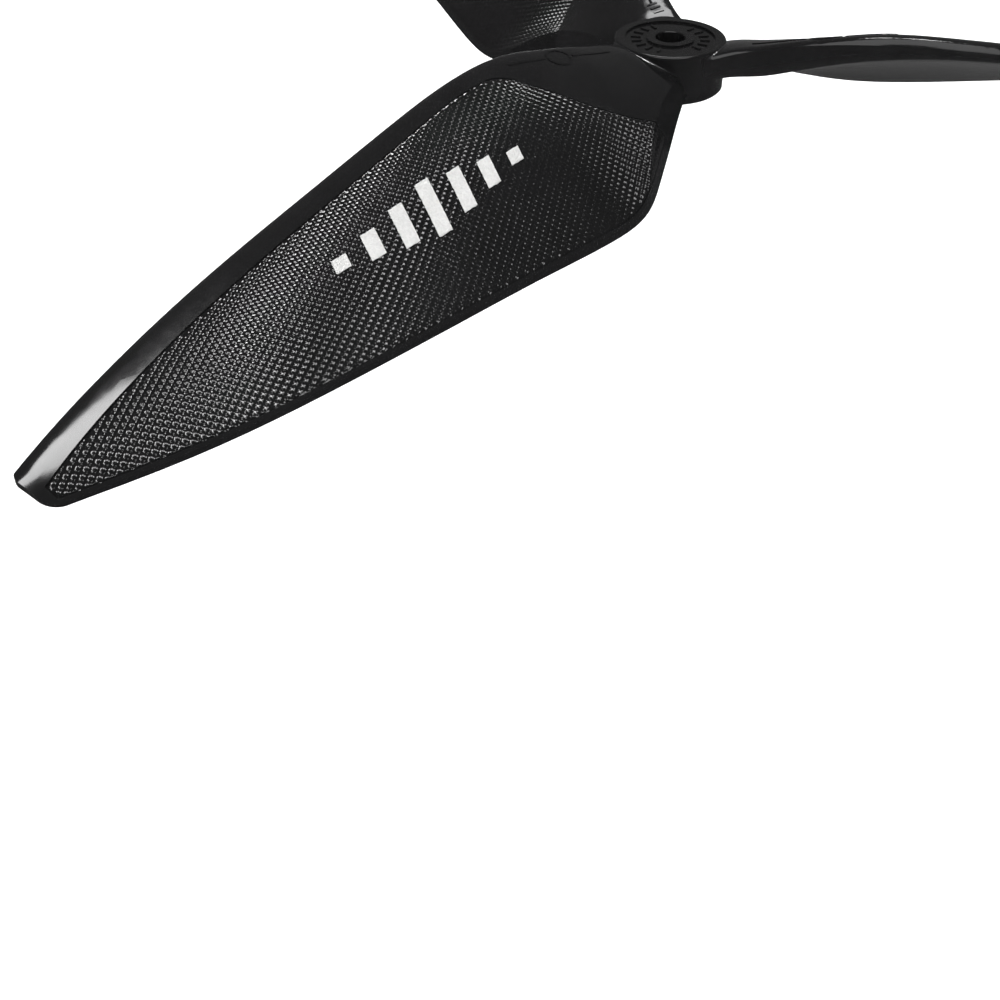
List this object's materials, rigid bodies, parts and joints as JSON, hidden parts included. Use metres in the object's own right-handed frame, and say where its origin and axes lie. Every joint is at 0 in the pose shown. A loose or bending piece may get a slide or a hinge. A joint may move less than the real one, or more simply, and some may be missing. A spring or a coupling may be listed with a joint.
{
  "type": "propeller",
  "caption": "Black moulded multi-blade propeller for drones and model aircraft, with wide twisted blades, woven-look panels, and a drum hub with a loose shaft adapter ring.",
  "frame": {"origin": "on the bore axis, in the rear face of the hub and of the adapter ring", "axes": "+Z along the bore in the thrust direction, towards the front of the hub; +X along blade_1"},
  "size_m": [0.2772, 0.3104, 0.0237],
  "materials": {
    "black_nylon": "satin, smooth moulded glass-filled nylon",
    "woven_plastic": "moulded weave of small glossy bumps",
    "white_print": "pad-printed white ink",
    "ring_plastic": "plain moulded"
  },
  "bodies": {
    "propeller": {"hub": "black_nylon", "blade_1": "black_nylon", "blade_2": "black_nylon", "blade_3": "black_nylon", "blade_panel_1": "woven_plastic", "blade_panel_2": "woven_plastic", "blade_panel_3": "woven_plastic", "blade_print_1": "white_print", "blade_print_2": "white_print", "blade_print_3": "white_print", "root_mark_1": "black_nylon", "root_mark_2": "black_nylon", "root_mark_3": "black_nylon", "hub_face_ticks": "black_nylon", "size_mark_dashes": "black_nylon"},
    "adapter": {"shaft_adapter_ring": "ring_plastic"}
  },
  "joints": [
    {"name": "ring_pull", "type": "slide", "parent": "propeller", "child": "adapter", "axis": [0, 0, -1], "range_m": [0, 0.005]}
  ]
}
